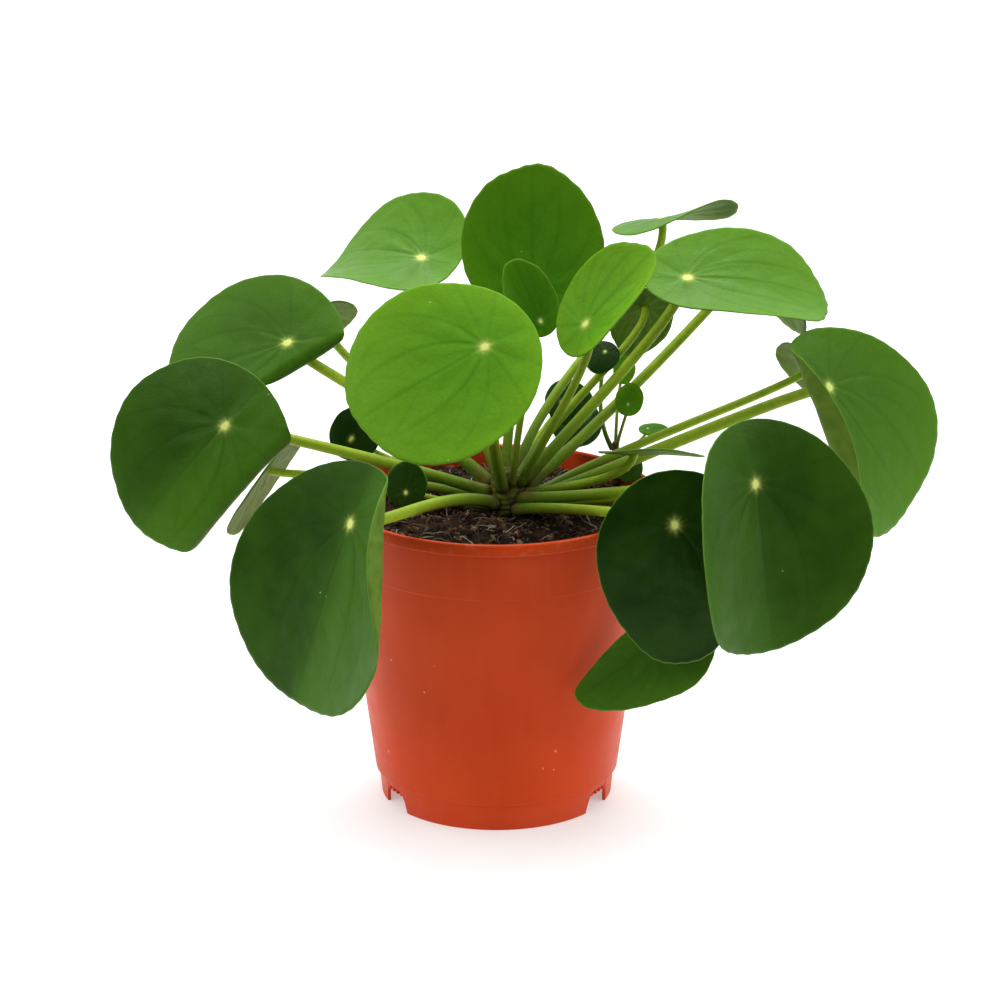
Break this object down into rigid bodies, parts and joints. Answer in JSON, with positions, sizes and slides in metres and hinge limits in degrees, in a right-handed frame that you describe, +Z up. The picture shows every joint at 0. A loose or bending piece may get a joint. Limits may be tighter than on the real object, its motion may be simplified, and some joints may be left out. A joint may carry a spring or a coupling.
{
  "type": "potted pilea plant",
  "caption": "Leafy pilea house plant with round flat leaves on long stalks from one short stem, growing in soil in a tapered plastic nursery pot.",
  "frame": {"origin": "the middle of the whole plant's box in X and Y, at the height of the surface the pot stands on; the pot's axis is 12.0 mm towards -X and 11.2 mm towards +Y of it", "axes": "+Z up along the pot's axis, -Y towards the viewer in front of the plant, +X to that viewer's right"},
  "size_m": [0.309, 0.2139, 0.2396],
  "materials": {
    "pot_plastic": "satin",
    "soil": "matte",
    "leaf_green": "satin",
    "leaf_young": "satin",
    "stalk_green": "satin",
    "stem_brown": "matte",
    "shoot_brown": "matte"
  },
  "bodies": {
    "root": {"leaf_back_dark": "leaf_green", "leaf_back_grey": "leaf_green", "leaf_back_left": "leaf_green", "leaf_centre": "leaf_young", "leaf_dark_left": "leaf_green", "leaf_edge_right": "leaf_green", "leaf_front_left": "leaf_green", "leaf_left_back": "leaf_green", "leaf_left_high": "leaf_green", "leaf_left_low": "leaf_green", "leaf_low_left": "leaf_green", "leaf_low_right": "leaf_green", "leaf_right_back": "leaf_green", "leaf_right_back_high": "leaf_green", "leaf_right_big": "leaf_green", "leaf_right_front": "leaf_green", "leaf_right_low": "leaf_green", "leaf_right_rolled": "leaf_green", "leaf_right_upper": "leaf_green", "leaf_top": "leaf_young", "leaf_under_right": "leaf_green", "leaf_upper_left": "leaf_green", "leaf_young_mid": "leaf_young", "leaf_young_right": "leaf_young", "main_stem": "stem_brown", "pot": "pot_plastic", "shoot_leaf_dark_mid": "leaf_green", "shoot_leaf_high": "leaf_green", "shoot_leaf_rim_right": "leaf_green", "shoot_leaf_round": "leaf_green", "shoot_leaf_side": "leaf_green", "shoot_stem": "shoot_brown", "soil": "soil", "stalk_back_grey": "stalk_green", "stalk_back_left": "stalk_green", "stalk_centre": "stalk_green", "stalk_edge_right": "stalk_green", "stalk_front_left": "stalk_green", "stalk_left_back": "stalk_green", "stalk_left_high": "stalk_green", "stalk_left_low": "stalk_green", "stalk_low_right": "stalk_green", "stalk_right_back": "stalk_green", "stalk_right_back_high": "stalk_green", "stalk_right_big": "stalk_green", "stalk_right_front": "stalk_green", "stalk_right_low": "stalk_green", "stalk_right_rolled": "stalk_green", "stalk_right_upper": "stalk_green", "stalk_top": "stalk_green", "stalk_under_right": "stalk_green", "stalk_upper_left": "stalk_green", "stalk_young_mid": "stalk_green", "stalk_young_right": "stalk_green"}
  },
  "joints": []
}
